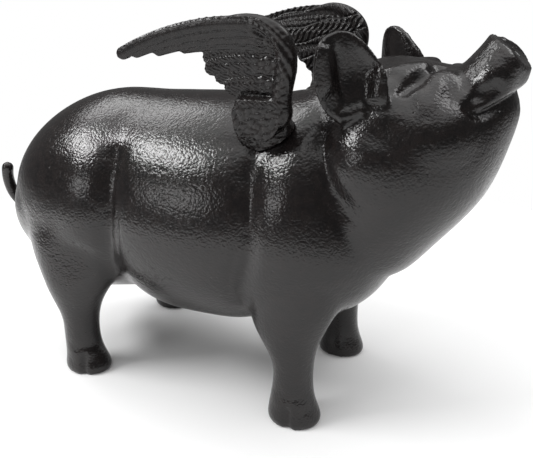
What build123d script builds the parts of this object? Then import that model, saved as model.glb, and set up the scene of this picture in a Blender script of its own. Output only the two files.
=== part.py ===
"""Cast-iron flying pig coin bank: two hollow half castings, two wings, and the screws that hold them.

Frame: +X to the snout, +Y to the pig's left, +Z up, origin on the ground under the middle of the pig.
"""

import os
from math import cos, radians, sin

from build123d import *

os.makedirs("parts", exist_ok=True)

# Driving sizes of the pig, in millimetres
body_length = 216.0
body_width = 84.0
body_height = 115.0
wall = 3.5
overrun = 2.0
fit_gap = 0.1
screw_clearance = 0.3

# Places on the body: along as a share of body_length, aside of body_width, up of body_height
front_foot_share = (0.199, 0.325)
rear_foot_share = (-0.236, 0.393)
leg_top_share = 0.574
ear_root_share = (0.280, 0.339, 0.957)
tail_root_share = (-0.431, 0.517)
slot_start_share = 0.153
slot_floor_share = 0.852
wing_root_share = (0.153, 0.381, 0.922)
seat_share = (0.144, 0.295, 0.925)
front_screw_share = (0.213, 0.574)
rear_screw_share = (-0.287, 0.574)
body_screw_seat_share = 0.357

# Feet
foot_length = 19.0
foot_width = 16.5

# Ears, each a cupped leaf that stands on the side of the head
ear_height = 28.0
ear_width = 22.0
ear_turn = 26.0
ear_cup_radius = 16.0
ear_cup_depth = 9.0
ear_thickness = 2.6

# Tail, a round bar that curls up against the right side of the rump
tail_diameter = 5.0
tail_curl = 18.0

# Face: the upper lip and the brows are bars half sunk in the skin, the eyes are grooves
lip_diameter = 3.8
brow_diameter = 5.4
eye_diameter = 3.0

# Nostrils, sunk in the snout disc
nostril_diameter = 3.4
nostril_depth = 2.5
nostril_spread = 4.4

# Coin slot across the joint of the halves, on the nape
slot_length = 29.0
slot_width = 4.6

# Wings: one curved cast sheet, leaning outwards, with a thick leading arm. The left one was cast taller.
wing_reach = 60.0
wing_rise = 38.0
left_wing_rise = 41.8
wing_lean = 8.5
wing_bend_radius = 350.0
feather_thickness = 2.4
feather_step = 0.6
primary_width = 4.1
secondary_width = 4.8
arm_diameter = 6.4
root_thickness = 6.5
wing_depth = 12.0
wing_gap = 0.3

# Seat between wing and shoulder, square to the screw that comes from inside
seat_slope = 46.0
seat_diameter = 12.2
foot_diameter = 10.0
foot_height = 7.0
inner_boss_depth = 8.5
inner_boss_rim = 1.5

# Pad under the wing root, fitted to the shoulder round the seat
pad_length = 24.0
pad_width = 16.0
pad_height = 9.0
pad_taper = 18.0

# Slotted wing screws and their washers
wing_screw_diameter = 4.0
wing_screw_head = 7.5
wing_screw_head_height = 2.8
wing_screw_reach = 6.0
washer_diameter = 9.5
washer_thickness = 1.0

# Slotted body screws, put in from the left half
body_screw_diameter = 5.0
body_screw_head = 9.0
body_screw_head_height = 3.2
body_screw_reach = 12.0
body_boss_diameter = 15.0
driver_slot_width = 1.2
driver_slot_depth = 1.4

# Body sections: place along the length, height of the widest line, lean, half width, rise and drop.
# Lengths are shares of body_length, half widths of body_width, heights of body_height.
ham_shares = [
    (-0.442, 0.590, 0, 0.060, 0.050, 0.050),
    (-0.426, 0.590, 0, 0.190, 0.140, 0.165),
    (-0.390, 0.590, 0, 0.330, 0.240, 0.290),
    (-0.330, 0.597, 0, 0.435, 0.318, 0.362),
    (-0.250, 0.605, 0, 0.492, 0.372, 0.372),
    (-0.180, 0.607, 0, 0.497, 0.387, 0.348),
    (-0.120, 0.607, 0, 0.467, 0.386, 0.320),
    (-0.065, 0.607, 0, 0.390, 0.365, 0.270),
]
barrel_shares = [
    (-0.175, 0.607, 0, 0.400, 0.365, 0.290),
    (-0.120, 0.607, 0, 0.467, 0.386, 0.356),
    (-0.045, 0.605, 0, 0.505, 0.394, 0.387),
    (0.025, 0.605, 0, 0.512, 0.398, 0.382),
    (0.090, 0.605, -4, 0.500, 0.399, 0.372),
    (0.140, 0.605, -7, 0.465, 0.390, 0.345),
    (0.195, 0.605, -8, 0.400, 0.385, 0.290),
]
shoulder_shares = [
    (0.078, 0.605, -6, 0.400, 0.385, 0.290),
    (0.138, 0.605, -6, 0.470, 0.418, 0.345),
    (0.185, 0.610, -3, 0.490, 0.430, 0.335),
    (0.235, 0.615, 3, 0.470, 0.436, 0.300),
    (0.280, 0.625, 8, 0.400, 0.400, 0.240),
    (0.320, 0.640, 12, 0.280, 0.310, 0.150),
]
head_shares = [
    (0.180, 0.700, 20, 0.330, 0.280, 0.260),
    (0.255, 0.745, 22, 0.385, 0.322, 0.300),
    (0.300, 0.790, 22, 0.400, 0.320, 0.300),
    (0.345, 0.870, 24, 0.405, 0.277, 0.277),
    (0.392, 0.930, 28, 0.352, 0.221, 0.228),
    (0.430, 0.985, 34, 0.262, 0.150, 0.156),
    (0.453, 1.030, 40, 0.185, 0.105, 0.103),
    (0.464, 1.055, 45, 0.130, 0.080, 0.070),
]
snout_shares = [
    (0.398, 0.983, 36, 0.150, 0.070, 0.070),
    (0.440, 1.040, 38, 0.215, 0.100, 0.088),
    (0.461, 1.100, 45, 0.186, 0.090, 0.077),
    (0.472, 1.144, 53, 0.150, 0.082, 0.058),
]
core_shares = [
    (-0.405, 0.590, 0, 0.250, 0.185, 0.190),
    (-0.370, 0.592, 0, 0.355, 0.262, 0.275),
    (-0.300, 0.600, 0, 0.450, 0.340, 0.335),
    (-0.200, 0.607, 0, 0.485, 0.383, 0.340),
    (-0.100, 0.607, 0, 0.460, 0.383, 0.325),
    (0.000, 0.605, 0, 0.492, 0.390, 0.362),
    (0.100, 0.605, 0, 0.470, 0.393, 0.345),
    (0.180, 0.612, 4, 0.465, 0.405, 0.315),
    (0.240, 0.660, 10, 0.425, 0.380, 0.300),
    (0.300, 0.760, 20, 0.385, 0.315, 0.285),
    (0.350, 0.860, 25, 0.370, 0.262, 0.240),
    (0.395, 0.940, 30, 0.280, 0.180, 0.170),
]

# Legs from sole to hip: height, step forward, half length and half width.
# Heights are shares of the leg's top, the next two of foot_length and the last of foot_width.
front_leg_shares = [
    (0.000, 0.030, 0.500, 0.490),
    (0.060, 0.030, 0.520, 0.515),
    (0.125, 0.005, 0.460, 0.465),
    (0.215, 0.000, 0.405, 0.440),
    (0.365, -0.010, 0.415, 0.460),
    (0.490, -0.090, 0.580, 0.540),
    (0.640, -0.100, 0.820, 0.700),
    (0.760, -0.020, 0.900, 0.790),
    (0.880, 0.030, 0.900, 0.830),
    (1.000, 0.060, 0.840, 0.800),
]
rear_leg_shares = [
    (0.000, 0.070, 0.500, 0.460),
    (0.060, 0.075, 0.520, 0.480),
    (0.125, 0.030, 0.450, 0.430),
    (0.230, -0.010, 0.400, 0.420),
    (0.365, 0.000, 0.405, 0.460),
    (0.490, -0.030, 0.590, 0.570),
    (0.640, -0.020, 0.900, 0.730),
    (0.760, -0.060, 1.080, 0.800),
    (0.880, -0.060, 1.130, 0.810),
    (1.000, -0.040, 1.060, 0.760),
]
leg_inset_shares = [0.0, 0.0, 0.0, 0.0, 0.01, 0.04, 0.11, 0.18, 0.24, 0.30]

# Ear outline from the root up the rear edge, then over the tip and down the front edge.
# Across are shares of ear_width, up are shares of ear_height.
ear_rear_shares = [(0.00, 0.00), (-0.32, 0.16), (-0.50, 0.42), (-0.50, 0.86)]
ear_front_shares = [
    (-0.50, 0.86),
    (-0.36, 0.97),
    (-0.08, 1.00),
    (0.20, 0.84),
    (0.42, 0.56),
    (0.45, 0.28),
    (0.28, 0.08),
    (0.00, 0.00),
]

# Tail bar: back, towards the right side and up, as shares of tail_curl
tail_shares = [
    (0.15, 0.20, -0.10),
    (-0.28, 0.34, -0.20),
    (-0.62, 0.50, 0.06),
    (-0.76, 0.60, 0.50),
    (-0.68, 0.66, 0.94),
]

# Face lines of the right side, as shares of the length, the width and the height of the body
lip_shares = [(0.422, 0.216, 1.040), (0.437, 0.212, 1.022), (0.458, 0.174, 1.036), (0.476, 0.108, 1.054)]
lip_middle_share = (0.483, 0.0, 1.060)
brow_shares = [(0.318, 0.180, 1.080), (0.342, 0.138, 1.090), (0.364, 0.076, 1.090)]
eye_shares = [(0.344, 0.278, 1.052), (0.361, 0.222, 1.074), (0.375, 0.140, 1.096), (0.386, 0.080, 1.108)]

# Feathers: tip, middle and quill, each forward of the wing root as a share of wing_reach and above it
# as a share of wing_rise, and the lift outwards as a share of feather_step
primary_shares = [
    ((-0.765, 0.670), (-0.410, 0.858), (-0.020, 0.905), 1.0),
    ((-0.690, 0.682), (-0.330, 0.818), (0.060, 0.850), 0.0),
    ((-0.560, 0.695), (-0.270, 0.778), (0.100, 0.785), -1.0),
    ((-0.410, 0.715), (-0.190, 0.745), (0.120, 0.725), -2.0),
]
secondary_shares = [
    ((-0.275, 0.635), (-0.140, 0.660), (0.100, 0.640), -3.0),
    ((-0.265, 0.550), (-0.120, 0.590), (0.110, 0.560), -2.0),
    ((-0.215, 0.475), (-0.090, 0.510), (0.120, 0.480), -3.0),
    ((-0.160, 0.400), (-0.060, 0.425), (0.120, 0.400), -2.0),
    ((-0.110, 0.315), (-0.020, 0.330), (0.120, 0.320), -3.0),
]
arm_shares = [
    (-0.240, 0.905),
    (-0.080, 0.930),
    (0.060, 0.890),
    (0.150, 0.760),
    (0.155, 0.560),
    (0.120, 0.300),
    (0.100, 0.120),
]
arm_thickness_shares = [0.36, 0.50, 0.72, 0.96, 1.00, 1.00, 1.00]
root_shares = [
    (-0.110, 0.340),
    (-0.145, 0.160),
    (-0.105, 0.010),
    (-0.045, 0.015),
    (0.010, -0.015),
    (0.080, 0.030),
    (0.125, 0.140),
    (0.130, 0.340),
]


def body_point(shares):
    """A place on the right side of the body, from its shares of the length, the width and the height."""
    along_share, aside_share, up_share = shares
    return Vector(along_share * body_length, -aside_share * body_width, up_share * body_height)


def station_plane(x_share, z_share, lean):
    """The plane of one body section, square to an axis that leans up from +X by lean degrees."""
    origin = (x_share * body_length, 0, z_share * body_height)
    axis = (cos(radians(lean)), 0, sin(radians(lean)))
    return Plane(origin=origin, x_dir=(0, 1, 0), z_dir=axis)


def body_mass(station_shares, thinner=0.0):
    """One swelling of the body, lofted through egg-shaped sections, each drawn in by thinner."""
    with BuildPart() as swelling:
        for x_share, z_share, lean, half_width_share, rise_share, drop_share in station_shares:
            half_width = half_width_share * body_width - thinner
            rise = rise_share * body_height - thinner
            drop = drop_share * body_height - thinner
            with BuildSketch(station_plane(x_share, z_share, lean)):
                with BuildLine():
                    EllipticalCenterArc((0, 0), half_width, rise, start_angle=0, arc_size=180)
                    EllipticalCenterArc((0, 0), half_width, drop, start_angle=180, arc_size=180)
                make_face()
        loft()
    return swelling.part


def right_leg(station_shares, foot_share):
    """One leg of the right side, lofted upwards from its sole into the body."""
    foot = body_point((*foot_share, 0))
    top = leg_top_share * body_height
    with BuildPart() as leg:
        for stations, inset_share in zip(station_shares, leg_inset_shares):
            height_share, forward_share, half_length_share, half_width_share = stations
            x = foot.X + forward_share * foot_length
            y = foot.Y + inset_share * foot_width
            with BuildSketch(Plane.XY.offset(height_share * top)):
                with Locations((x, y)):
                    Ellipse(half_length_share * foot_length, half_width_share * foot_width)
        loft()
    return leg.part


def ear_point(across_share, up_share):
    """A point of the ear outline in the ear's own plane."""
    return across_share * ear_width, up_share * ear_height


def right_ear():
    """The right ear: a leaf outline cut out of an upright curved sheet, open to the front and the side."""
    facing = Vector(sin(radians(ear_turn)), -cos(radians(ear_turn)), 0)
    across = Vector(cos(radians(ear_turn)), sin(radians(ear_turn)), 0)
    root = body_point(ear_root_share)
    behind = Plane(origin=root - facing * ear_thickness, x_dir=across, z_dir=facing)
    below = Vector(0, 0, -ear_height)
    level = Plane(origin=root + facing * ear_cup_radius + below, x_dir=across, z_dir=(0, 0, 1))
    with BuildPart() as leaf:
        with BuildSketch(behind):
            with BuildLine():
                Spline(*[ear_point(*shares) for shares in ear_rear_shares])
                Spline(*[ear_point(*shares) for shares in ear_front_shares])
            make_face()
        extrude(amount=ear_thickness + ear_cup_depth)
        with BuildSketch(level):
            Circle(ear_cup_radius + ear_thickness / 2)
            Circle(ear_cup_radius - ear_thickness / 2, mode=Mode.SUBTRACT)
        extrude(amount=3 * ear_height, mode=Mode.INTERSECT)
    return leaf.part


def round_bar(points, diameter):
    """A round bar along a smooth line through the points, with round ends."""
    with BuildPart() as bar:
        with BuildLine() as middle:
            Spline(*points)
        with BuildSketch(Plane(origin=middle.line @ 0, z_dir=middle.line % 0)):
            Circle(diameter / 2)
        sweep(path=middle.line)
        with Locations(middle.line @ 0, middle.line @ 1):
            Sphere(diameter / 2)
    return bar.part


def curled_tail():
    """The tail: a bar that starts inside the rump and curls up beside it."""
    along_share, up_share = tail_root_share
    root = body_point((along_share, 0, up_share))
    points = []
    for back_share, right_share, up_share in tail_shares:
        points.append(root + Vector(back_share, -right_share, up_share) * tail_curl)
    return round_bar(points, tail_diameter)


def face_line(side_shares, middle_share):
    """A line round the front of the face, from the right side over the middle to the left side."""
    right = [body_point(shares) for shares in side_shares]
    left = [Vector(point.X, -point.Y, point.Z) for point in reversed(right)]
    return right + [body_point(middle_share)] + left


seat_normal = Vector(0, -cos(radians(seat_slope)), sin(radians(seat_slope)))
seat = Plane(origin=body_point(seat_share), x_dir=(1, 0, 0), z_dir=seat_normal)
inner_seat = seat.offset(-inner_boss_depth)
wing_outward = Vector(0, -cos(radians(wing_lean)), -sin(radians(wing_lean)))
wing_up = Vector(0, -sin(radians(wing_lean)), cos(radians(wing_lean)))
wing_origin = body_point(wing_root_share)
wing_face = Plane(origin=wing_origin, x_dir=(1, 0, 0), z_dir=wing_outward)


def wing_point(shares, rise):
    """A point of the wing outline in the wing's own plane, for a wing of the given rise."""
    forward_share, up_share = shares
    return forward_share * wing_reach, up_share * rise


def feather(tip_shares, middle_shares, quill_shares, width, lift, rise):
    """One feather: a round-ended blade cut out of the wing's curved sheet, lifted outwards by lift."""
    radius = wing_bend_radius - lift
    level = Plane(
        origin=wing_origin + wing_outward * wing_bend_radius - wing_up * rise,
        x_dir=(1, 0, 0),
        z_dir=wing_up,
    )
    with BuildPart() as blade:
        with BuildSketch(wing_face.offset(-wing_depth)):
            with BuildLine() as quill:
                ThreePointArc(
                    wing_point(tip_shares, rise), wing_point(middle_shares, rise), wing_point(quill_shares, rise)
                )
            SlotArc(quill.line.edge(), width)
        extrude(amount=2 * wing_depth)
        with BuildSketch(level):
            Circle(radius + feather_thickness / 2)
            Circle(radius - feather_thickness / 2, mode=Mode.SUBTRACT)
        extrude(amount=3 * rise, mode=Mode.INTERSECT)
    return blade.part


def wing_arm(rise):
    """The leading arm: a round bar that thickens from the front primary over the wrist down to the root."""
    last = len(arm_thickness_shares) - 1
    with BuildPart() as arm:
        with BuildLine(wing_face) as bone:
            Spline(*[wing_point(shares, rise) for shares in arm_shares])
        for number, thickness_share in enumerate(arm_thickness_shares):
            place = number / last
            across = Plane(origin=bone.line @ place, x_dir=wing_outward, z_dir=bone.line % place)
            with BuildSketch(across):
                Circle(thickness_share * arm_diameter / 2)
        loft()
        with Locations(bone.line @ 0):
            Sphere(arm_thickness_shares[0] * arm_diameter / 2)
    return arm.part


def wing_casting(rise):
    """A right wing of the given rise, fitted to the shoulder and tapped for its screw."""
    feathers = []
    for rows_shares, width in ((primary_shares, primary_width), (secondary_shares, secondary_width)):
        for tip_shares, middle_shares, quill_shares, lift_share in rows_shares:
            lift = lift_share * feather_step
            feathers.append(feather(tip_shares, middle_shares, quill_shares, width, lift, rise))
    arm = wing_arm(rise)
    with BuildPart() as wing:
        for blade in feathers:
            add(blade)
        add(arm)
        with BuildSketch(wing_face.offset(-root_thickness / 2)):
            with BuildLine():
                Spline(*[wing_point(shares, rise) for shares in root_shares])
                Line(wing_point(root_shares[-1], rise), wing_point(root_shares[0], rise))
            make_face()
        extrude(amount=root_thickness)
        with BuildSketch(seat.offset(-overrun)):
            Ellipse(pad_length / 2, pad_width / 2)
        extrude(amount=pad_height + overrun, taper=pad_taper)
        for shares in (barrel_shares, shoulder_shares):
            add(body_mass(shares, -wing_gap), mode=Mode.SUBTRACT)
        with BuildSketch(seat):
            Circle(foot_diameter / 2)
        extrude(amount=foot_height)
        with BuildSketch(seat.offset(-overrun)):
            Circle(wing_screw_diameter / 2 + fit_gap)
        extrude(amount=wing_screw_reach + 2 * overrun, mode=Mode.SUBTRACT)
    return wing.part


def slotted_screw(under_head, diameter, length, head_diameter, head_height):
    """A slotted screw whose shank runs along the plane's normal from the underside of its head."""
    with BuildPart() as screw:
        with BuildSketch(under_head):
            Circle(diameter / 2)
        extrude(amount=length)
        with BuildSketch(under_head):
            Circle(head_diameter / 2)
        extrude(amount=-head_height)
        with BuildSketch(under_head.offset(-head_height)):
            Rectangle(head_diameter + overrun, driver_slot_width)
        extrude(amount=driver_slot_depth, mode=Mode.SUBTRACT)
    return screw.part


def screw_line(shares, y, direction):
    """The plane square to a body screw, facing +Y or -Y, at the given y."""
    along_share, up_share = shares
    origin = (along_share * body_length, y, up_share * body_height)
    return Plane(origin=origin, x_dir=(1, 0, 0), z_dir=(0, direction, 0))


def screw_post(shares):
    """A round post across the whole cavity on the line of one body screw."""
    with BuildPart() as post:
        with BuildSketch(screw_line(shares, -body_width, 1)):
            Circle(body_boss_diameter / 2)
        extrude(amount=2 * body_width)
    return post.part


# Sand core: the hollow inside both halves, which leaves the screw posts and the wing seats standing
core_mass = body_mass(core_shares, wall)
with BuildPart() as wing_boss:
    with BuildSketch(inner_seat):
        Circle(washer_diameter / 2 + inner_boss_rim)
    extrude(amount=inner_boss_depth + overrun)
with BuildPart() as core:
    add(core_mass)
    add(screw_post(front_screw_share), mode=Mode.SUBTRACT)
    add(screw_post(rear_screw_share), mode=Mode.SUBTRACT)
    add(wing_boss.part, mode=Mode.SUBTRACT)
    add(mirror(wing_boss.part, about=Plane.XZ, mode=Mode.PRIVATE), mode=Mode.SUBTRACT)

# The whole casting before it is parted down the middle
body_masses = [body_mass(shares) for shares in (ham_shares, barrel_shares, shoulder_shares)]
head_masses = [body_mass(shares) for shares in (head_shares, snout_shares)]
limbs = [
    right_leg(front_leg_shares, front_foot_share),
    right_leg(rear_leg_shares, rear_foot_share),
    right_ear(),
]
raised = [round_bar(face_line(lip_shares, lip_middle_share), lip_diameter)]
sunk = []
brow = round_bar([body_point(shares) for shares in brow_shares], brow_diameter)
eye = round_bar([body_point(shares) for shares in eye_shares], eye_diameter)
for line, lines in ((brow, raised), (eye, sunk)):
    lines.append(line)
    lines.append(mirror(line, about=Plane.XZ, mode=Mode.PRIVATE))
nostril_x_share, nostril_z_share, nostril_lean = snout_shares[-1][:3]
snout_disc = station_plane(nostril_x_share, nostril_z_share, nostril_lean)
with BuildPart() as pig:
    for swelling in body_masses + head_masses:
        add(swelling)
    for limb in limbs:
        add(limb)
        add(mirror(limb, about=Plane.XZ, mode=Mode.PRIVATE))
    for line in raised:
        add(line)
    for line in sunk:
        add(line, mode=Mode.SUBTRACT)
    add(core.part, mode=Mode.SUBTRACT)
    with BuildSketch(Plane.XY.offset(slot_floor_share * body_height)):
        with Locations((slot_start_share * body_length + slot_length / 2, 0)):
            Rectangle(slot_length, slot_width)
    extrude(amount=body_height, mode=Mode.SUBTRACT)
    with BuildSketch(snout_disc):
        with Locations((nostril_spread, 0), (-nostril_spread, 0)):
            Circle(nostril_diameter / 2)
    extrude(amount=-nostril_depth, mode=Mode.SUBTRACT)
    with BuildSketch(seat):
        Circle(seat_diameter / 2)
    spot_face = extrude(amount=foot_height, mode=Mode.SUBTRACT)
    mirror(spot_face, about=Plane.XZ, mode=Mode.SUBTRACT)
    with BuildSketch(inner_seat.offset(-overrun)):
        Circle(wing_screw_diameter / 2 + screw_clearance)
    wing_hole = extrude(amount=inner_boss_depth + 2 * overrun, mode=Mode.SUBTRACT)
    mirror(wing_hole, about=Plane.XZ, mode=Mode.SUBTRACT)

# Right half: ears, legs and the tail on it, with blind tapped holes in its screw posts
tail = curled_tail()
screw_shares = (front_screw_share, rear_screw_share)
with BuildPart() as right_half:
    add(pig.part)
    split(bisect_by=Plane.XZ, keep=Keep.TOP)
    add(tail)
    for shares in screw_shares:
        with BuildSketch(screw_line(shares, overrun, -1)):
            Circle(body_screw_diameter / 2 + fit_gap)
        extrude(amount=body_screw_reach + 2 * overrun, mode=Mode.SUBTRACT)

# Left half: clearance holes and counterbores for the body screws
body_screw_seat = body_screw_seat_share * body_width
with BuildPart() as left_half:
    add(pig.part)
    split(bisect_by=Plane.XZ, keep=Keep.BOTTOM)
    for shares in screw_shares:
        with BuildSketch(screw_line(shares, -overrun, 1)):
            Circle(body_screw_diameter / 2 + screw_clearance)
        extrude(amount=body_width, mode=Mode.SUBTRACT)
        with BuildSketch(screw_line(shares, body_screw_seat, 1)):
            Circle(body_screw_head / 2 + screw_clearance)
        extrude(amount=body_width, mode=Mode.SUBTRACT)

# Wings
with BuildPart() as right_wing:
    add(wing_casting(wing_rise))
with BuildPart() as left_wing:
    add(mirror(wing_casting(left_wing_rise), about=Plane.XZ, mode=Mode.PRIVATE))

# Screws and washers
washer_plane = inner_seat.offset(-washer_thickness)
wing_screw_length = inner_boss_depth + washer_thickness + wing_screw_reach
wing_screw = slotted_screw(
    washer_plane, wing_screw_diameter, wing_screw_length, wing_screw_head, wing_screw_head_height
)
with BuildPart() as right_wing_washer:
    with BuildSketch(washer_plane):
        Circle(washer_diameter / 2)
        Circle(wing_screw_diameter / 2 + screw_clearance, mode=Mode.SUBTRACT)
    extrude(amount=washer_thickness)
with BuildPart() as left_wing_washer:
    add(mirror(right_wing_washer.part, about=Plane.XZ, mode=Mode.PRIVATE))
with BuildPart() as right_wing_screw:
    add(wing_screw)
with BuildPart() as left_wing_screw:
    add(mirror(wing_screw, about=Plane.XZ, mode=Mode.PRIVATE))
body_screws = []
for shares in screw_shares:
    head_seat = screw_line(shares, body_screw_seat, -1)
    length = body_screw_seat + body_screw_reach
    body_screws.append(
        slotted_screw(head_seat, body_screw_diameter, length, body_screw_head, body_screw_head_height)
    )

pieces = {
    "right_half": right_half.part,
    "left_half": left_half.part,
    "right_wing": right_wing.part,
    "left_wing": left_wing.part,
    "front_body_screw": body_screws[0],
    "rear_body_screw": body_screws[1],
    "right_wing_screw": right_wing_screw.part,
    "left_wing_screw": left_wing_screw.part,
    "right_wing_washer": right_wing_washer.part,
    "left_wing_washer": left_wing_washer.part,
}
for name, piece in pieces.items():
    piece.label = name
    export_step(piece, f"parts/{name}.step")
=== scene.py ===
# %% [markdown]
# # A flying pig coin bank in black cast iron
# The real thing is two hollow iron castings screwed together down the middle, with a cast wing screwed to
# each shoulder, and all of it under one coat of black enamel. The frame loaded below is the measured model
# of those pieces. This lesson gives them the look of hand-made sand castings: soft creases, grain and
# feathers.

from math import cos, pi, radians, sin

import bmesh
import bpy
import numpy as np
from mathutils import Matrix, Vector


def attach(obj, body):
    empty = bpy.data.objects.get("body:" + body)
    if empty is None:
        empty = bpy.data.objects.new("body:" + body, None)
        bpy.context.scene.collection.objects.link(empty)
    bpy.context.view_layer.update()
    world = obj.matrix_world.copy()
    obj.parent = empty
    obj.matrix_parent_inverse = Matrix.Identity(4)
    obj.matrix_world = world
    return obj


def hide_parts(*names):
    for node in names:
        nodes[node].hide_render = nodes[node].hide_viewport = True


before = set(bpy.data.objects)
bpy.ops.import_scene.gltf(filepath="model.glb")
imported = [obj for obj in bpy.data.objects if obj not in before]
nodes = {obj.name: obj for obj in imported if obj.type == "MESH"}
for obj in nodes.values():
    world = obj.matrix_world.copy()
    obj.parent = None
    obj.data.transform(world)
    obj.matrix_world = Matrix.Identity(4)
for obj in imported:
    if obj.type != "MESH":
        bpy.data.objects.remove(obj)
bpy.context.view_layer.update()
MM = 0.001

# %% [markdown]
# ## Camera
# A product photo like this one is taken from a little above the back of the animal, from its front right.
# The place and the aim were worked out from the feet, the ears and the slot, so they are plain numbers
# here.

# %% Aim the camera
CAMERA_AT = Vector((114.9, -201.2, 143.9)) * MM
CAMERA_TURN = radians(25.404)
CAMERA_DIP = radians(20.136)
CAMERA_LENS = 40.5
SENSOR = 36.0
CLIP_START = 10 * MM

level = cos(CAMERA_DIP)
aim = Vector((-level * sin(CAMERA_TURN), level * cos(CAMERA_TURN), -sin(CAMERA_DIP)))
camera_data = bpy.data.cameras.new("photo_camera")
camera_data.lens = CAMERA_LENS
camera_data.sensor_width = SENSOR
camera_data.clip_start = CLIP_START
camera = bpy.data.objects.new("photo_camera", camera_data)
camera.location = CAMERA_AT
camera.rotation_euler = aim.to_track_quat("-Z", "Y").to_euler()
bpy.context.scene.collection.objects.link(camera)
bpy.context.scene.camera = camera
print("camera at", [round(v / MM, 1) for v in CAMERA_AT], "mm")

# %% [markdown]
# ## Sockets as numbers
# A node tree is easier to read as arithmetic. The class below wraps one output socket, and every operator
# on it adds the Math node that does the same, so a mask can be written as `1 - grain * 0.5`.


# %% A small wrapper for shader maths
class Value:
    """One output socket of a material, with the arithmetic operators on it."""

    def __init__(self, recipe, socket):
        self.recipe = recipe
        self.socket = socket

    def math(self, operation, other):
        return self.recipe.node("ShaderNodeMath", {"operation": operation}, {0: self, 1: other})

    def __add__(self, other):
        return self.math("ADD", other)

    def __sub__(self, other):
        return self.math("SUBTRACT", other)

    def __rsub__(self, other):
        return self.recipe.node("ShaderNodeMath", {"operation": "SUBTRACT"}, {0: other, 1: self})

    def __mul__(self, other):
        return self.math("MULTIPLY", other)

    __radd__ = __add__
    __rmul__ = __mul__

    def between(self, low, high):
        """0 below low, 1 above high, and smooth between them."""
        inputs = {"Value": self, "From Min": low, "From Max": high}
        return self.recipe.node("ShaderNodeMapRange", {"interpolation_type": "SMOOTHSTEP"}, inputs)


class Recipe:
    """The node tree of a material, or of the world."""

    def __init__(self, owner, output="ShaderNodeOutputMaterial"):
        self.owner = owner
        owner.use_nodes = True
        self.tree = owner.node_tree
        self.tree.nodes.clear()
        self.output = self.tree.nodes.new(output)

    def node(self, kind, settings=None, inputs=None, output=0):
        """Adds one node: its settings first, then the values or links of its sockets."""
        made = self.tree.nodes.new(kind)
        for name, setting in (settings or {}).items():
            setattr(made, name, setting)
        for name, value in (inputs or {}).items():
            if isinstance(value, Value):
                self.tree.links.new(value.socket, made.inputs[name])
            else:
                made.inputs[name].default_value = value
        return Value(self, made.outputs[output])

    def finish(self, surface):
        """Shows a shader on the surface, and gives the material or world back."""
        self.tree.links.new(surface.socket, self.output.inputs["Surface"])
        return self.owner


# %% [markdown]
# ## Black enamel over sand-cast iron
# Sand leaves a skin like orange peel, with a few pits. The enamel levels it a little and adds its own
# gloss. A photographed texture would need an unwrapped skin, which a remesh doesn't leave, so all of it is
# procedural and reads Object coordinates. Noise at two sizes and a few pits go through a Bump node, and the
# roughness wanders a little with them. The colour is almost black with a hint of warmth.

# %% The enamel
BLACK = (0.010, 0.0085, 0.0085, 1)
BROWN_BLACK = (0.015, 0.012, 0.0115, 1)
SWELL_SCALE = 0.3
PIT_SCALE = 0.16
PIT_EDGE = (0.03, 0.10)
SWELL_SHARE = 0.7
PIT_SHARE = 0.6
BUMP_STRENGTH = 0.75
SHINE_SPREAD = 0.12


def enamel(name, grain, depth, roughness, gloss):
    """Black enamel over sand grain of a size and a depth in metres."""
    recipe = Recipe(bpy.data.materials.new(name))
    place = recipe.node("ShaderNodeTexCoord", output="Object")
    fine = {"Vector": place, "Scale": 1 / grain, "Detail": 1.2, "Roughness": 0.5}
    peel = recipe.node("ShaderNodeTexNoise", None, fine)
    wide = {"Vector": place, "Scale": SWELL_SCALE / grain, "Detail": 1.0}
    swell = recipe.node("ShaderNodeTexNoise", None, wide)
    pits = recipe.node("ShaderNodeTexVoronoi", None, {"Vector": place, "Scale": PIT_SCALE / grain})
    pit_mask = 1 - pits.between(*PIT_EDGE)
    height = peel + swell * SWELL_SHARE - pit_mask * PIT_SHARE
    relief = {"Strength": BUMP_STRENGTH, "Distance": depth, "Height": height}
    bumped = recipe.node("ShaderNodeBump", None, relief)
    shine = peel.between(0.25, 0.8) * SHINE_SPREAD + (roughness - 0.05)
    shades = {"Factor": swell.between(0.3, 0.7), "A": BLACK, "B": BROWN_BLACK}
    colour = recipe.node("ShaderNodeMix", {"data_type": "RGBA"}, shades, output="Result")
    coat = {"Base Color": colour, "Roughness": shine, "Normal": bumped, "Specular IOR Level": gloss}
    return recipe.finish(recipe.node("ShaderNodeBsdfPrincipled", None, coat))


body_enamel = enamel("body_enamel", grain=0.85 * MM, depth=0.22 * MM, roughness=0.19, gloss=0.45)
wing_enamel = enamel("wing_enamel", grain=0.9 * MM, depth=0.10 * MM, roughness=0.24, gloss=0.35)
print("enamels made")

# %% [markdown]
# ## The casting as one lump of clay
# The measured halves are joined into one pig, and a voxel remesh turns the lot into one even skin, in which
# masses that only met along a sharp line can be smoothed into each other. Each half could be worked by
# itself, but a step would soon show where they meet. The halves are first moved into each other by a hair,
# so that the remesh leaves no gap between them.

# %% Join the halves
PIG_VOXEL = 0.75 * MM
OVERLAP = 0.4 * MM
MERGE = 0.001 * MM


def copy_of(node, shift=(0, 0, 0)):
    """A bmesh of a CAD node's mesh, merged, and moved by shift."""
    mesh = bmesh.new()
    mesh.from_mesh(nodes[node].data)
    bmesh.ops.remove_doubles(mesh, verts=mesh.verts, dist=MERGE)
    bmesh.ops.translate(mesh, verts=mesh.verts, vec=shift)
    return mesh


def into(whole, part):
    """Adds one bmesh to another."""
    scratch = bpy.data.meshes.new("scratch")
    part.to_mesh(scratch)
    part.free()
    whole.from_mesh(scratch)
    bpy.data.meshes.remove(scratch)


def piece(name, mesh):
    """A new object at the origin that holds a bmesh."""
    data = bpy.data.meshes.new(name)
    mesh.to_mesh(data)
    mesh.free()
    made = bpy.data.objects.new(name, data)
    bpy.context.scene.collection.objects.link(made)
    return made


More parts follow.
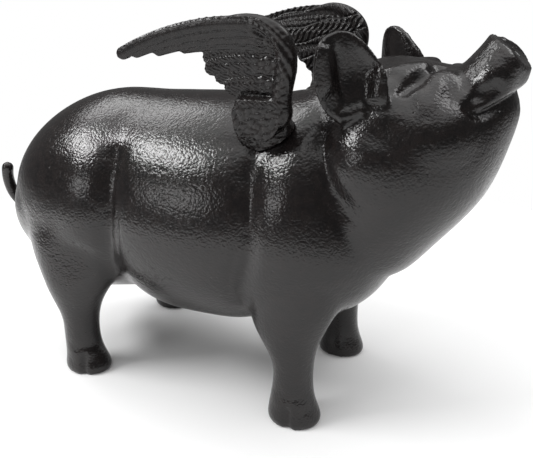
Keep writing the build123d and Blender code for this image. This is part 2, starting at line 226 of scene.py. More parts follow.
def apply_modifiers(made):
    """Makes what the modifiers of an object show its own mesh."""
    graph = bpy.context.evaluated_depsgraph_get()
    data = bpy.data.meshes.new_from_object(made.evaluated_get(graph))
    made.modifiers.clear()
    old = made.data
    made.data = data
    bpy.data.meshes.remove(old)


def remesh(made, voxel):
    """Gives an object one even skin of small squares."""
    skinned = made.modifiers.new("remesh", "REMESH")
    skinned.mode = "VOXEL"
    skinned.voxel_size = voxel
    apply_modifiers(made)
    print(made.name, len(made.data.vertices), "points")


clay = copy_of("right_half", (0, OVERLAP / 2, 0))
into(clay, copy_of("left_half", (0, -OVERLAP / 2, 0)))
pig = piece("pig", clay)
remesh(pig, PIG_VOXEL)

# %% [markdown]
# ## Sculpting with strokes
# A sculptor works clay with a tool that is drawn along a line. Sculpt Mode has such tools, but a stroke
# that is written down comes out the same on every run, and its numbers can be changed later. In the class
# below a stroke is a line of a few places on the skin, a width and a depth, and it moves the points near
# the line in or out along their normals. It fades towards its ends, by a share of its length at each. A dab
# is a stroke on one spot. Each is made on both sides of the pig.


# %% The sculpting tools
KEEN_SHARE = 0.4
FACING_GAIN = 1.6
DAB_LENGTH = 0.01


class Sculpt:
    """The points of a mesh in millimetres, with tools that move them."""

    def __init__(self, made):
        self.mesh = made.data
        count = len(self.mesh.vertices)
        self.at = np.empty(count * 3)
        self.mesh.vertices.foreach_get("co", self.at)
        self.at = self.at.reshape(-1, 3) / MM
        ends = np.empty(len(self.mesh.edges) * 2, dtype=np.int64)
        self.mesh.edges.foreach_get("vertices", ends)
        self.ends = ends.reshape(-1, 2)
        self.sides = np.bincount(self.ends.ravel(), minlength=count)
        self.turn()

    def store(self):
        """Writes the points back to the mesh."""
        self.mesh.vertices.foreach_set("co", (self.at * MM).ravel())
        self.mesh.update()

    def turn(self):
        """Works the normals out again."""
        self.store()
        out = np.empty(self.at.size)
        self.mesh.vertex_normals.foreach_get("vector", out)
        self.out = out.reshape(-1, 3)

    def smooth(self, weight, times):
        """Moves each point towards its neighbours, by its own weight from 0 to 1."""
        first, second = self.ends.T
        for _ in range(times):
            for axis in range(3):
                values = self.at[:, axis]
                total = np.bincount(first, values[second], len(values))
                total += np.bincount(second, values[first], len(values))
                values += weight * (total / self.sides - values)

    def line(self, places, reach):
        """The points near a line: which, how far off, how far along it, and the way its skin faces."""
        places = np.array(places, dtype=float)
        inside = np.all((self.at > places.min(0) - reach) & (self.at < places.max(0) + reach), axis=1)
        near = np.flatnonzero(inside)
        if len(near) == 0:
            return near, None, None, None
        spot = self.at[near]
        facing = np.array([self.out[np.argmin(((self.at - place) ** 2).sum(1))] for place in places])
        runs = np.linalg.norm(np.diff(places, axis=0), axis=1)
        total = runs.sum()
        gone = np.concatenate(([0], np.cumsum(runs)))
        far = np.full(len(near), np.inf)
        along = np.zeros(len(near))
        way = np.zeros((len(near), 3))
        for number, run in enumerate(runs):
            start, step = places[number], places[number + 1] - places[number]
            share = np.clip(((spot - start) @ step) / run**2, 0, 1)
            gap = np.linalg.norm(spot - start - share[:, None] * step, axis=1)
            closer = gap < far
            far = np.where(closer, gap, far)
            along = np.where(closer, (gone[number] + share * run) / total, along)
            blend = facing[number] * (1 - share[:, None]) + facing[number + 1] * share[:, None]
            way = np.where(closer[:, None], blend, way)
        return near, far, along, way

    def stroke(self, places, width, depth, sharp=0.0, ends=(0.15, 0.15)):
        """Presses a groove along a line, or raises a ridge where depth is negative."""
        near, far, along, way = self.line(places, width)
        if len(near) == 0:
            return
        wide = np.clip(1 - (far / width) ** 2, 0, 1) ** 2
        keen = np.clip(1 - far / (KEEN_SHARE * width), 0, 1) ** 1.5
        fade = np.ones(len(near))
        for end, gone in zip(ends, (along, 1 - along)):
            if end > 0:
                fade *= np.clip(gone / end, 0, 1)
        fade = fade * fade * (3 - 2 * fade)
        same = np.clip((self.out[near] * way).sum(1) * FACING_GAIN, 0, 1)
        amount = depth * fade * same * ((1 - sharp) * wide + sharp * keen)
        self.at[near] -= amount[:, None] * self.out[near]

    def dab(self, place, width, depth):
        """Presses or raises one round spot."""
        self.stroke([place, np.add(place, DAB_LENGTH)], width, depth, ends=(0, 0))

    def both(self, tool, places, *how, **more):
        """Uses a tool on the right side and on the left."""
        other = np.array(places, dtype=float) * (1, -1, 1)
        tool(places, *how, **more)
        tool(other, *how, **more)


def rise(values, low, high):
    """0 below low, 1 above high, and smooth between them."""
    share = np.clip((values - low) / (high - low), 0, 1)
    return share * share * (3 - 2 * share)


# %% [markdown]
# ## Softening the casting
# The masses of the body flow into each other on the real pig, most where a leg grows out of the body. A
# bevel would round every seam alike, so the points are drawn towards their neighbours instead, each by a
# weight of its own. Each region is a product of rises along the axes. The ears, the slot, the tail, the
# soles and the edge of the snout keep their shape. The hip is then raised a little and the thigh pressed,
# so that one slope runs down the leg.

# %% Smooth the seams
SEAM_WEIGHT = 0.6
FLOW_WEIGHT = 0.8
HIP = (-84, -29, 62)
THIGH = (-46, -41, 50)

skin = Sculpt(pig)
x, y, z = skin.at.T
ears = rise(z, 111, 116) * rise(x, 44, 48) * (1 - rise(x, 72, 76)) * rise(abs(y), 17, 21)
slot = (1 - rise(abs(y), 3, 5)) * rise(x, 27, 31) * (1 - rise(x, 64, 67)) * rise(z, 95, 99)
disc = rise(x * 0.62 + z * 0.78, 162, 166)
keep = np.maximum.reduce([ears * 0.85, slot, disc, 1 - rise(x, -97, -92), 1 - rise(z, 2, 5)])
thighs = rise(z, 36, 46) * (1 - rise(z, 64, 74)) * rise(abs(y), 12, 18) * (1 - rise(x, 60, 66))
skin.smooth((1 - keep) * SEAM_WEIGHT, times=8)
skin.smooth(thighs * FLOW_WEIGHT, times=30)
haunch = (1 - rise(x, -66, -54)) * rise(z, 34, 44) * (1 - rise(z, 70, 84)) * rise(x, -98, -92)
skin.smooth(haunch * FLOW_WEIGHT, times=60)
saddle = rise(z, 95, 100) * (1 - rise(abs(x + 24), 12, 20))
skin.smooth(saddle * FLOW_WEIGHT, times=60)
skin.turn()
skin.both(skin.dab, HIP, width=16, depth=-1.8)
skin.both(skin.dab, THIGH, width=16, depth=1.4)
skin.turn()
print("smoothed", len(skin.at), "points")

# %% [markdown]
# ## Creases and folds of the body
# The flank and the shoulder meet the barrel in narrow valleys. A shallow wide press is smoothed first, and
# then a keen line is drawn in its middle. That gives the dark line that the casting shows, and the low
# ridge beside it catches the light. The belly is filled out between the legs.

# %% Press the flank, the shoulder and the neck
FLANK = [
    (-27.0, -29.0, 100), (-25.0, -33.7, 93), (-24.2, -37.7, 84), (-25.4, -39.2, 74.4),
    (-26.8, -38.9, 63.5), (-29.0, -36.5, 54), (-32.4, -30.0, 43.7),
]
SHOULDER = [
    (26.4, -31.1, 99.3), (28.3, -34.3, 93.6), (30.3, -36.9, 86.1), (31.6, -39.0, 78.5),
    (31.6, -39.8, 71.8), (30.1, -39.2, 63.5), (27.1, -37.4, 56.2), (25.5, -34.5, 49.3), (24.5, -30.0, 43),
]
NECK = [
    (49.7, -24.9, 109.3), (51.6, -27.8, 105.2), (52.8, -29.7, 101.0), (54.6, -31.4, 95.9),
    (56.3, -32.2, 91.5), (58.9, -32.6, 87.8), (61.6, -32.6, 84.3), (65.4, -31.6, 78.9), (68.6, -29.2, 73.6),
]
JOWL = [(59.9, -32.7, 86.7), (64.3, -32.9, 84.7), (69.6, -32.0, 81.4), (72.8, -30.7, 79.5)]
BELLY = [(-24, -20, 39), (-12, -21, 36.5), (10, -20, 35)]
PRESS_WEIGHT = 0.5


def beside(places, shift):
    """The same line a little further along x."""
    return [(place[0] + shift, place[1], place[2]) for place in places]


skin.both(skin.stroke, FLANK, width=7.5, depth=1.4, sharp=0.2)
skin.both(skin.stroke, beside(FLANK, -14), width=12, depth=-0.8, ends=(0.3, 0.4))
skin.both(skin.stroke, SHOULDER, width=6.5, depth=1.2, sharp=0.2)
skin.both(skin.stroke, NECK, width=6.5, depth=1.2, sharp=0.2, ends=(0.15, 0.4))
skin.both(skin.stroke, JOWL, width=8, depth=0.6, ends=(0, 0.7))
skin.both(skin.stroke, BELLY, width=20, depth=-2.9, ends=(0.35, 0.6))
skin.turn()
skin.smooth((1 - keep) * PRESS_WEIGHT, times=6)
skin.turn()
skin.both(skin.stroke, FLANK, width=2.2, depth=0.8, sharp=1)
skin.both(skin.stroke, beside(FLANK, 2.4), width=2.6, depth=-0.35, ends=(0.3, 0.3))
skin.both(skin.stroke, SHOULDER, width=2.2, depth=1.0, sharp=1)
skin.both(skin.stroke, beside(SHOULDER, -2.3), width=2.4, depth=-0.45, ends=(0.3, 0.3))
skin.both(skin.stroke, NECK, width=2.2, depth=0.8, sharp=1, ends=(0.1, 0.4))
skin.both(skin.stroke, beside(NECK, -2.1), width=2.2, depth=-0.4, ends=(0.3, 0.4))
skin.turn()
print("creases pressed")

# %% [markdown]
# ## The face
# The cheeks are two bulges with a valley between them, and the muzzle slopes steeply to the snout. The eye
# is a slit at the end of a groove under the brow, and the upper lip hangs in a lobe under the snout, with
# the mouth as a dark line below it. Separate pieces for lips and lids would show a join that one casting
# doesn't have, so strokes make them all: the broad forms first, then a smoothing, then the lines.

# %% Model the cheeks, the eyes and the lips
CHEEK = (62.0, -32.2, 101)
MUZZLE_BALL = (88, -26, 112)
SNOUT_SIDE = (101, -15, 128)
CHEEKBONE = [(77, -24.5, 119), (82, -22.4, 119.8), (86, -21.5, 118.5)]
MUZZLE = [(78, -18, 124), (84, -15, 125), (90, -13, 126.5)]
VALLEY = [(69.7, -29.3, 115.1), (70.9, -31.5, 111.2), (71.5, -33.0, 107.1), (71.1, -33.8, 103.5)]
BROW = [(69.0, -19.0, 125.0), (72.0, -15.0, 127.0), (75.5, -11.5, 127.8), (79.0, -6.0, 128.3)]
EYE = [
    (72.0, -26.5, 118.5), (73.4, -24.7, 120.4), (74.5, -21.1, 121.5), (76.0, -19.1, 123.1),
    (77.6, -16.2, 124.6), (79.1, -12.6, 126.1), (80.9, -8.2, 126.7), (83.1, -5.4, 126.9),
]
MOUTH = [
    (91.0, -20.0, 119.4), (92.4, -20.0, 117.4), (94.4, -19.6, 115.9), (96.6, -18.0, 115.7),
    (98.8, -15.9, 116.6), (100.9, -13.7, 117.7), (103.0, -10.8, 118.9), (105.0, -6.0, 120.1),
    (105.8, 0.0, 120.6),
]
LIP_HOLLOW = [
    (92.5, -17.3, 121.5), (95.0, -17.9, 120.5), (97.0, -17.7, 120.8), (99.1, -16.7, 122.1), (101, -15.4, 124),
]
SNOUT_RIM = [(97, -6, 135.8), (99.5, -10.5, 133.6), (101.5, -12.3, 130.2), (103, -12.8, 126.5)]
EYE_SLIT = EYE[5:]
SOFTEN_WEIGHT = 0.3

skin.both(skin.dab, CHEEK, width=13, depth=-1.8)
skin.both(skin.dab, MUZZLE_BALL, width=14, depth=-2.4)
skin.both(skin.stroke, VALLEY, width=8.5, depth=0.9, ends=(0.45, 0.45))
skin.both(skin.stroke, CHEEKBONE, width=8, depth=-1.4, ends=(0.3, 0.3))
skin.both(skin.stroke, MUZZLE, width=10, depth=-2.4, ends=(0.3, 0.3))
skin.both(skin.dab, SNOUT_SIDE, width=9, depth=-1.5)
skin.turn()
skin.smooth((1 - keep) * PRESS_WEIGHT * rise(x, 54, 60), times=8)
skin.turn()
skin.both(skin.stroke, BROW, width=7, depth=-1.1, ends=(0.2, 0.2))
skin.both(skin.stroke, EYE, width=4.0, depth=1.3, ends=(0.4, 0.1))
skin.turn()
skin.both(skin.stroke, EYE_SLIT, width=1.8, depth=1.3, sharp=0.6)
skin.both(skin.stroke, MOUTH, width=3.4, depth=2.2, sharp=0.4, ends=(0.1, 0))
skin.both(skin.stroke, LIP_HOLLOW, width=4.2, depth=1.4)
skin.both(skin.stroke, SNOUT_RIM, width=2.8, depth=-0.9)
skin.smooth((1 - keep) * SOFTEN_WEIGHT * rise(x, 60, 70), times=2)
skin.turn()
print("face modelled")

# %% [markdown]
# ## Ears and hooves
# The rear edge of each ear is folded forward as a flap, so a crease runs up the hollow, and a rim of clay
# joins the ear to the head. A hoof is cleft in front, and a faint hollow over a faint swelling marks its
# horn. All of this is a millimetre or two deep, which is too little to be worth cutting with a Boolean.

# %% Fold the ears and cleave the hooves
EAR_HOLLOW = (62.6, -29.1, 126)
FLAP = [
    (54.4, -36.0, 135), (54.4, -36.2, 131.8), (54.9, -35.4, 127.7), (55.3, -34.6, 123.4), (56.0, -33.6, 119),
]
FOLD = [
    (56.3, -33.4, 134.7), (57.2, -32.3, 131.6), (58.1, -31.6, 127.5),
    (58.9, -30.9, 123.2), (59.6, -30.5, 118.9), (59.7, -30.4, 116.0),
]
LOBE = [(66.2, -28.2, 127.5), (67.6, -28.2, 124.8), (68.1, -28.2, 121.4), (67.7, -28.2, 118.0)]
EAR_RIM = [
    (62.0, -29.0, 135.5), (64.0, -28.6, 133.0), (66.9, -28.2, 130.3),
    (69.8, -28.3, 127.4), (70.7, -28.5, 123.6),
]
EAR_BASE = [
    (57.5, -32.5, 113), (59.0, -30.8, 114.0), (60.8, -29.8, 114.5),
    (62.9, -28.9, 115.4), (65.4, -28.3, 116.7),
]
FRONT_HOOF = [
    (36.7, -31.7, 12.0), (41, -34.3, 13.0), (44.9, -34.3, 13.0), (48.1, -32.6, 13.0), (50.4, -28.8, 13.0),
]
REAR_HOOF = [(-54, -38, 11.5), (-49.2, -39.7, 12.5), (-44.9, -36.9, 12.5), (-43.7, -31.1, 12.5)]
HORN_DROP = 3.4
FRONT_CLEFT = [(44.4, -35.5, 0.5), (44.4, -35.5, 5), (44.4, -34.5, 10.5)]
REAR_CLEFT = [(-45.7, -40.0, 0.5), (-45.7, -40.0, 5), (-45.7, -38.2, 10.5)]

skin.both(skin.dab, EAR_HOLLOW, width=10, depth=1.5)
skin.both(skin.stroke, FLAP, width=4.5, depth=-1.5, ends=(0.1, 0.3))
skin.both(skin.stroke, LOBE, width=4.0, depth=-1.3)
skin.both(skin.stroke, EAR_BASE, width=3.2, depth=-1.4)
skin.turn()
skin.both(skin.stroke, FOLD, width=2.4, depth=1.1, sharp=0.6, ends=(0.1, 0.2))
skin.both(skin.stroke, EAR_RIM, width=2.6, depth=-0.6)
for band in (FRONT_HOOF, REAR_HOOF):
    horn = [(along, aside, up - HORN_DROP) for along, aside, up in band]
    skin.both(skin.stroke, band, width=3.6, depth=0.28, ends=(0.3, 0.3))
    skin.both(skin.stroke, horn, width=4.0, depth=-0.3, ends=(0.3, 0.3))
for cleft in (FRONT_CLEFT, REAR_CLEFT):
    skin.both(skin.stroke, cleft, width=2.4, depth=1.3, sharp=0.4, ends=(0, 0.4))
skin.turn()
print("ears and hooves modelled")

# %% [markdown]
# ## The inside of the bank
# The chamber is hollow on the real pig, and here too. Hardly any of it is seen, so it needs far fewer
# triangles than the skin. Its points are found by walking over the mesh from one point of the chamber wall,
# stopping at the doors, which are the slot and the wing screw holes. Only the points found are thinned out.

# %% Find the chamber wall
CHAMBER_WALL = (0.0, -36.0, 68.0)
WING_HOLE = (31.1, 24.8, 106.4)
WING_HOLE_REACH = 14.0

x, y, z = skin.at.T
doors = (abs(y) < 5) & (x > 25) & (x < 69) & (z > 93)
for side in (-1, 1):
    hole = np.multiply(WING_HOLE, (1, side, 1))
    doors |= np.linalg.norm(skin.at - hole, axis=1) < WING_HOLE_REACH
gaps = np.linalg.norm(skin.at - CHAMBER_WALL, axis=1)
gaps[skin.out[:, 1] < 0] = np.inf
chamber = np.zeros(len(x), dtype=bool)
chamber[np.argmin(gaps)] = True
shut = doors[skin.ends].any(axis=1)
first, second = skin.ends[~shut].T
found = 0
while chamber.sum() > found:
    found = chamber.sum()
    chamber[second[chamber[first]]] = True
    chamber[first[chamber[second]]] = True
print("chamber", found, "points")

# %% Thin out the chamber wall
KEPT_SHARE = 0.64

skin.store()
wall = pig.vertex_groups.new(name="chamber")
wall.add(np.flatnonzero(chamber).tolist(), 1.0, "REPLACE")
thin = pig.modifiers.new("thin", "DECIMATE")
thin.ratio = KEPT_SHARE
thin.vertex_group = wall.name
apply_modifiers(pig)
skin = Sculpt(pig)
print("pig", len(skin.at), "points")

# %% [markdown]
# ## Two castings
# The sculpted pig is cut down the middle into the two halves that are really cast. Each cut is filled, so
# both are closed shells. A Boolean with a large block could cut it too, but bisecting is quicker and puts
# the joint exactly on the plane. The skin beside the cut is drawn in a little first, which leaves the fine
# parting line that runs along the back and between the ears.

# %% Cut the pig in half
PARTING_DEPTH = 0.14
PARTING_WIDTH = 0.7

x, y, z = skin.at.T
drawn_in = PARTING_DEPTH * np.clip(1 - abs(y) / PARTING_WIDTH, 0, 1)
skin.at -= drawn_in[:, None] * skin.out
skin.store()


def half(name, side):
    """The half of the pig on one side of the parting plane, closed where it was cut."""
    mesh = bmesh.new()
    mesh.from_mesh(pig.data)
    everything = mesh.verts[:] + mesh.edges[:] + mesh.faces[:]
    away = (0, -side, 0)
    cut = bmesh.ops.bisect_plane(mesh, geom=everything, plane_co=(0, 0, 0), plane_no=away, clear_outer=True)
    rim = [item for item in cut["geom_cut"] if isinstance(item, bmesh.types.BMEdge)]
    lid = bmesh.ops.triangle_fill(mesh, edges=rim, use_beauty=True, use_dissolve=False, normal=away)
    for face in mesh.faces:
        face.smooth = True
    for item in lid["geom"]:
        if isinstance(item, bmesh.types.BMFace):
            item.smooth = False
    open_edges = sum(1 for edge in mesh.edges if not edge.is_manifold)
    triangles = len(mesh.calc_loop_triangles())
    made = piece(name, mesh)
    print(name, triangles, "triangles,", open_edges, "open edges")
    return made


for name, side in (("right_casting", -1), ("left_casting", 1)):
    casting = half(name, side)
    casting.data.materials.append(body_enamel)
    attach(casting, "root")
    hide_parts(name.replace("casting", "half"))
bpy.data.objects.remove(pig)

# %% [markdown]
# ## Feathers in relief
# A wing is one casting whose feathers are only relief. Feathers that are meshes of their own would overlap
# and leave gaps that iron doesn't have, so the relief is worked out as a height for each point of one fine
# skin. The place of a point in the plane of the wing says which feather it belongs to, how far along the
# quill it is and how far aside, and from these come a rounded vane, a raised quill and slanting barbs. The
# arm is barred, and the root is covered with small scales. The left wing was cast taller, so its relief is
# stretched with it.

# %% The layout of a wing
WING_ROOT = np.array((33.05, 32.0, 106.0))
WING_LEAN = radians(8.5)
WING_RISE = 38.0
LEFT_WING_RISE = 41.8
WING_VOXEL = 0.3 * MM
PRIMARY_WIDTH = 4.1
SECONDARY_WIDTH = 4.8

PRIMARIES = [
    ((-45.9, 25.5), (-24.6, 32.6), (-1.2, 34.4)),
    ((-41.4, 25.9), (-19.8, 31.1), (3.6, 32.3)),
    ((-33.6, 26.4), (-16.2, 29.6), (6.0, 29.8)),
    ((-24.6, 27.2), (-11.4, 28.3), (7.2, 27.6)),
]
SECONDARIES = [
    ((-16.5, 24.1), (-8.4, 25.1), (6.0, 24.3)),
    ((-15.9, 20.9), (-7.2, 22.4), (6.6, 21.3)),
    ((-12.9, 18.1), (-5.4, 19.4), (7.2, 18.2)),
    ((-9.6, 15.2), (-3.6, 16.2), (7.2, 15.2)),
    ((-6.6, 12.0), (-1.2, 12.5), (7.2, 12.2)),
]


def beside_quill(across, up, tip, middle, end):
    """How far points lie along and aside of a quill, which is an arc through three places."""
    tip, middle, end = np.array(tip), np.array(middle), np.array(end)
    rows = 2 * np.array((middle - tip, end - tip))
    centre = np.linalg.solve(rows, (middle @ middle - tip @ tip, end @ end - tip @ tip))
    radius = np.linalg.norm(tip - centre)
    turn = np.arctan2(up - centre[1], across - centre[0])
    first, last = (np.arctan2(*(spot - centre)[::-1]) for spot in (tip, end))
    length = abs(last - first) * radius
    aside = np.hypot(across - centre[0], up - centre[1]) - radius
    return (turn - first) / (last - first) * length, aside, length


print(len(PRIMARIES), "long feathers and", len(SECONDARIES), "short ones")

# %% One feather and one row of scales
VANE_HEIGHT = 0.55
VANE_SINK = 0.42
BARB_PITCH = 1.7
BARB_SLANT = 1.4
QUILL_HEIGHT = 0.07
QUILL_WIDTH = 0.5


def vane(along, aside, width, barb):
    """The relief of one feather: rounded across, with a quill and barbs that slant away from it."""
    share = np.clip(abs(aside) * 2 / width, 0, 1)
    slanted = along + aside * BARB_SLANT + 0.25 * np.sin(along * 1.7)
    barbs = barb * np.sin(slanted * 2 * np.pi / BARB_PITCH)
    quill = QUILL_HEIGHT * np.exp(-((aside / QUILL_WIDTH) ** 2))
    return VANE_HEIGHT * (1 - share**2) ** 0.5 - VANE_SINK + quill + barbs


def scales(along, up, long, high):
    """Rows of small round scales of a length and a height, each row shifted by half a scale."""
    row = np.floor(up / high)
    column = along / long + 0.5 * (row % 2)
    aside = column - np.floor(column) - 0.5
    rest = up / high - row
    return np.clip(1 - np.hypot(aside * 1.9, (rest - 0.9) * 1.1), 0, 1) ** 0.6


# %% Relief of the two faces
VANE_OVERRUN = 3
COVERT_HEIGHT, COVERT_SINK, COVERT_SIZE = 0.34, 0.15, (2.6, 2.1)
KNOB_HEIGHT, KNOB_SINK, KNOB_SIZE = 0.42, 0.16, (3.1, 2.4)
ARM_CENTRE = (-8, 14)
ARM_RADIUS = 21
BAR_START = 19.4
BAR_HEIGHT, BAR_PITCH = 0.22, 2.4
NOTCH_HEIGHT, NOTCH_PITCH = 0.05, 1.9
ROW_PITCH = 5.2
HATCH_HEIGHT, HATCH_PITCH = 0.34, 2.0
ROW_GAP_DEPTH = 0.5


def outer_relief(across, up):
    """The relief in millimetres of the outer face of a wing."""
    relief = np.zeros(len(across))
    free = np.ones(len(across), dtype=bool)
    for quills, width, barb in ((PRIMARIES, PRIMARY_WIDTH, 0.0), (SECONDARIES, SECONDARY_WIDTH, 0.16)):
        for tip, middle, end in quills:
            along, aside, length = beside_quill(across, up, tip, middle, end)
            on_it = free & (abs(aside) < width / 2) & (along > -width / 2) & (along < length + VANE_OVERRUN)
            relief = np.where(on_it, vane(along, aside, width, barb), relief)
            free &= ~on_it
    coverts = rise(across, -3, 1) * rise(up, 11, 15)
    hatch = scales(across * 0.9 + up * 0.5, up * 0.9 - across * 0.5, *COVERT_SIZE)
    hatch = COVERT_HEIGHT * hatch - COVERT_SINK
    relief = relief * (1 - coverts) + hatch * coverts
    arcs = np.hypot(across - ARM_CENTRE[0], up - ARM_CENTRE[1])
    sweep = np.arctan2(up - ARM_CENTRE[1], across - ARM_CENTRE[0])
    bars = rise(arcs, 18.2, BAR_START) * rise(up, 12, 16) * (1 - rise(arcs, 24.5, 26)) * rise(across, -2, 3)
    notches = NOTCH_HEIGHT * np.sin(sweep * ARM_RADIUS * 2 * np.pi / NOTCH_PITCH)
    ridges = BAR_HEIGHT * np.cos((arcs - BAR_START) * 2 * np.pi / BAR_PITCH) + notches
    relief = relief * (1 - bars) + bars * ridges
    root = 1 - rise(up, 9, 13)
    tilted, rows = across * 0.8 + up * 0.6, up * 0.8 - across * 0.6
    waved = (tilted + 0.6 * np.sin(rows * 1.9), rows + 0.5 * np.sin(tilted * 1.3))
    knobs = KNOB_HEIGHT * scales(*waved, *KNOB_SIZE) - KNOB_SINK
    return relief * (1 - root) + knobs * root


def inner_relief(across, up):
    """The relief in millimetres of the inner face, which is hatched in slanting rows of small feathers."""
    rows = up * 0.9 - across * 0.18 + 0.5 * np.sin(across * 0.35)
    number = np.round(rows / ROW_PITCH)
    lean = np.where(number % 2 == 0, 1, -1) * 0.55
    slant = across * 0.85 + up * lean + 0.3 * np.sin(up * 1.3 + number)
    between = abs(rows / ROW_PITCH - number) * 2
    hatch = HATCH_HEIGHT * np.sin(slant * 2 * np.pi / HATCH_PITCH)
    return hatch * (1 - rise(between, 0.7, 0.95)) - ROW_GAP_DEPTH * rise(between, 0.78, 0.98) + 0.1


# %% Carve the wings
ROUGH_SOFTENING = 0.5
ARM_SOFTENING = 0.9
CARVED_SOFTENING = 0.35


def wing(name, side, height):
    """One wing: the measured casting, remeshed finely and carved on both faces."""
    made = piece(name + "_casting", copy_of(name))
    remesh(made, WING_VOXEL)
    clay = Sculpt(made)
    outward = np.array((0, side * cos(WING_LEAN), -sin(WING_LEAN)))
    upward = np.array((0, side * sin(WING_LEAN), cos(WING_LEAN)))
    spot = clay.at - WING_ROOT * (1, side, 1)
    across, up, out = spot[:, 0], (spot @ upward) * WING_RISE / height, spot @ outward
    clay.smooth(np.full(len(across), ROUGH_SOFTENING), times=3)
    seam = rise(up, 8, 11) * (1 - rise(up, 15, 19)) * rise(abs(out), 0.4, 1.2)
    clay.smooth(seam * ARM_SOFTENING, times=40)
    clay.turn()
    facing = clay.out @ outward
    carve = rise(facing, 0.35, 0.8) * outer_relief(across, up)
    carve += rise(-facing, 0.35, 0.8) * inner_relief(across, up) * rise(up, 9, 13)
    clay.at += carve[:, None] * clay.out
    clay.smooth(np.full(len(across), CARVED_SOFTENING), times=1)
    clay.store()
    made.data.calc_loop_triangles()
    print(name, len(made.data.loop_triangles), "triangles")
    return made


for name, side, height in (("right_wing", -1, WING_RISE), ("left_wing", 1, LEFT_WING_RISE)):
    casting = wing(name, side, height)
    for face in casting.data.polygons:
        face.use_smooth = True
    casting.data.materials.append(wing_enamel)
    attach(casting, "root")
    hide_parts(name)

# %% [markdown]
# ## Screws and washers
# The screws and washers are plain steel. They could be modelled again with threads, but all of them sit
# inside or in deep holes, so they keep their measured shape, and get fine marks from the tool and a little
# darkening by oil.

# %% Tooled steel
BRIGHT_STEEL = (0.52, 0.51, 0.49, 1)
OILED_STEEL = (0.30, 0.28, 0.26, 1)
MARK_SCALE = 2600.0
STAIN_SCALE = 420.0


def steel(name):
    """Screw steel with fine tool marks and stains."""
    recipe = Recipe(bpy.data.materials.new(name))
    place = recipe.node("ShaderNodeTexCoord", output="Object")
    marks = recipe.node("ShaderNodeTexNoise", None, {"Vector": place, "Scale": MARK_SCALE, "Detail": 3.0})
    stain = recipe.node("ShaderNodeTexNoise", None, {"Vector": place, "Scale": STAIN_SCALE, "Detail": 2.0})
    bumped = recipe.node("ShaderNodeBump", None, {"Strength": 0.3, "Distance": 0.05 * MM, "Height": marks})
    shades = {"Factor": stain.between(0.35, 0.7), "A": BRIGHT_STEEL, "B": OILED_STEEL}
    colour = recipe.node("ShaderNodeMix", {"data_type": "RGBA"}, shades, output="Result")
    shine = stain * 0.2 + 0.22
    surface = {"Base Color": colour, "Metallic": 1.0, "Roughness": shine, "Normal": bumped}
    return recipe.finish(recipe.node("ShaderNodeBsdfPrincipled", None, surface))


screw_steel = steel("screw_steel")
for name, node in nodes.items():
    if "screw" in name or "washer" in name:
        node.data.materials.clear()
        node.data.materials.append(screw_steel)
print("screws and washers finished")

# %% [markdown]
# ## Studio
# Black gloss shows mostly what it reflects, so the room matters more than the colour. A picture of a real
# studio could light the pig, but lamps and a plain gradient can be moved one by one until each highlight
# sits where it should. A small bright soft box stands to the left of the camera, 41 degrees up, and gives
# the highlights on the flank, the barrel and the snout. The ceiling is pale, the walls are dark, and the
# white floor lights the underside. The world shades the room by direction. To the camera it is white, and
# in reflections it is white where the floor goes on below the horizon.

# %% Paper floor
PAPER_RADIUS = 300 * MM
PAPER_WHITE = (0.96, 0.96, 0.96, 1)
WHITE = (1, 1, 1, 1)
CAMERA_LIFT = 0.05
MIRROR_LIFT = 0.03

floor_mesh = bmesh.new()
bmesh.ops.create_circle(floor_mesh, cap_ends=True, segments=96, radius=PAPER_RADIUS)
floor = piece("floor", floor_mesh)

paper = Recipe(bpy.data.materials.new("paper"))
rays = ("Is Camera Ray", "Is Glossy Ray", "Is Transmission Ray")
camera_ray, glossy_ray, glass_ray = (paper.node("ShaderNodeLightPath", output=ray) for ray in rays)
lit_paper = paper.node("ShaderNodeBsdfDiffuse", None, {"Color": PAPER_WHITE}, output="BSDF")
lift = camera_ray * CAMERA_LIFT + (glossy_ray + glass_ray) * MIRROR_LIFT
glow = paper.node("ShaderNodeEmission", None, {"Color": WHITE, "Strength": lift})
floor.data.materials.append(paper.finish(paper.node("ShaderNodeAddShader", None, {0: lit_paper, 1: glow})))
print("paper", round(2 * PAPER_RADIUS / MM), "mm across")

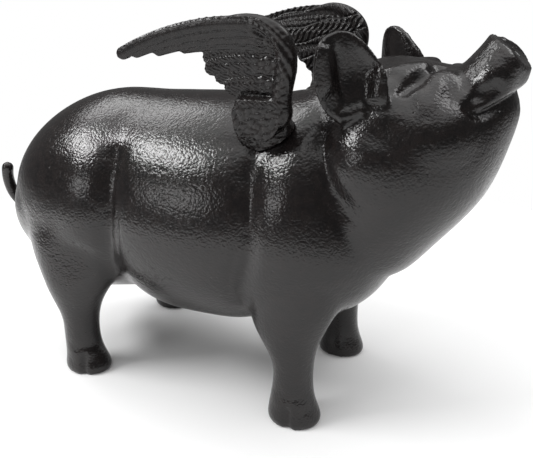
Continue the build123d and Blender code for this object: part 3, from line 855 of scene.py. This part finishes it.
# %% Room
CEILING = 1.75
WALLS = 0.12
CEILING_EDGE = (0.58, 0.95)
HORIZON = (-0.36, -0.02)

room = Recipe(bpy.data.worlds.new("room"), "ShaderNodeOutputWorld")
bpy.context.scene.world = room.owner
way = room.node("ShaderNodeTexCoord", output="Generated")
above = room.node("ShaderNodeSeparateXYZ", None, {0: way}, output="Z")
light = above.between(*CEILING_EDGE) * CEILING + WALLS
lit = room.node("ShaderNodeBackground", None, {"Color": WHITE, "Strength": light})
seen = room.node("ShaderNodeBackground", None, {"Color": WHITE, "Strength": 1.0})
camera_ray, glossy_ray, glass_ray = (room.node("ShaderNodeLightPath", output=ray) for ray in rays)
below = 1 - above.between(*HORIZON)
white = (camera_ray + (glossy_ray + glass_ray) * below).math("MINIMUM", 1.0)
room.finish(room.node("ShaderNodeMixShader", None, {"Fac": white, 1: lit, 2: seen}))
print("room shaded")

# %% Soft boxes
LAMP_DISTANCE = 700 * MM
LAMP_AIM = Vector((0, 0, 70)) * MM


def soft_box(name, azimuth, elevation, wide, high, radiance):
    """A rectangular lamp, placed and measured in degrees as the pig sees it."""
    data = bpy.data.lights.new(name, "AREA")
    data.shape = "RECTANGLE"
    data.size = 2 * LAMP_DISTANCE * sin(radians(wide / 2))
    data.size_y = 2 * LAMP_DISTANCE * sin(radians(high / 2))
    data.energy = radiance * data.size * data.size_y * pi
    level = cos(radians(elevation))
    towards = Vector((sin(radians(azimuth)) * level, -cos(radians(azimuth)) * level, sin(radians(elevation))))
    lamp = bpy.data.objects.new(name, data)
    lamp.location = towards * LAMP_DISTANCE + LAMP_AIM
    lamp.rotation_euler = towards.to_track_quat("Z", "Y").to_euler()
    bpy.context.scene.collection.objects.link(lamp)


soft_box("key_box", azimuth=-56, elevation=41, wide=26, high=12, radiance=19.0)
soft_box("fill_box", azimuth=-31, elevation=13, wide=20, high=13, radiance=4.5)
soft_box("left_box", azimuth=-108, elevation=47, wide=30, high=14, radiance=4.5)
soft_box("rim_box", azimuth=125, elevation=52, wide=34, high=20, radiance=3.0)
bpy.context.scene.view_settings.view_transform = "Standard"
print("studio lit")
